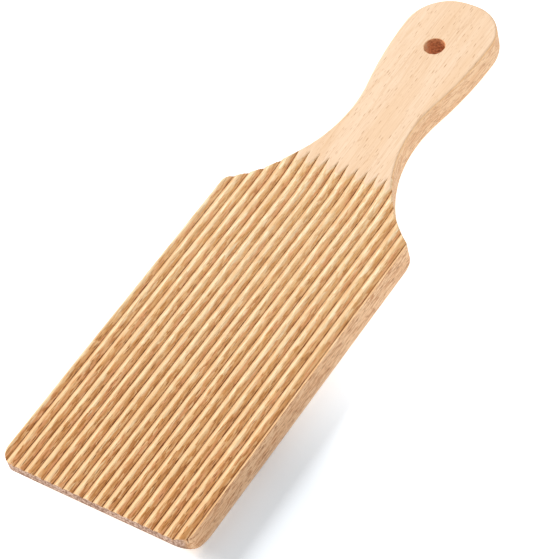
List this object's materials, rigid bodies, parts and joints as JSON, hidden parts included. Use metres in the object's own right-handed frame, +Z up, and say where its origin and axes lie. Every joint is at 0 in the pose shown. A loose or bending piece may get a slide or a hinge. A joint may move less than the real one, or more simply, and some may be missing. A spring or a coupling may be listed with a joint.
{
  "type": "gnocchi board",
  "caption": "Small wooden paddle with a ridged blade for rolling and marking pasta, and a waisted handle with a hanging hole.",
  "frame": {"origin": "under the middle of the board's length and width, on the flat back that it lies on", "axes": "+X across the blade, to the right seen from the ridged face with the handle away; +Y along the board towards the end of the handle; +Z up out of the ridged face"},
  "size_m": [0.065, 0.205, 0.01],
  "materials": {
    "beech": "matte"
  },
  "bodies": {
    "root": {"board": "beech"}
  },
  "joints": []
}
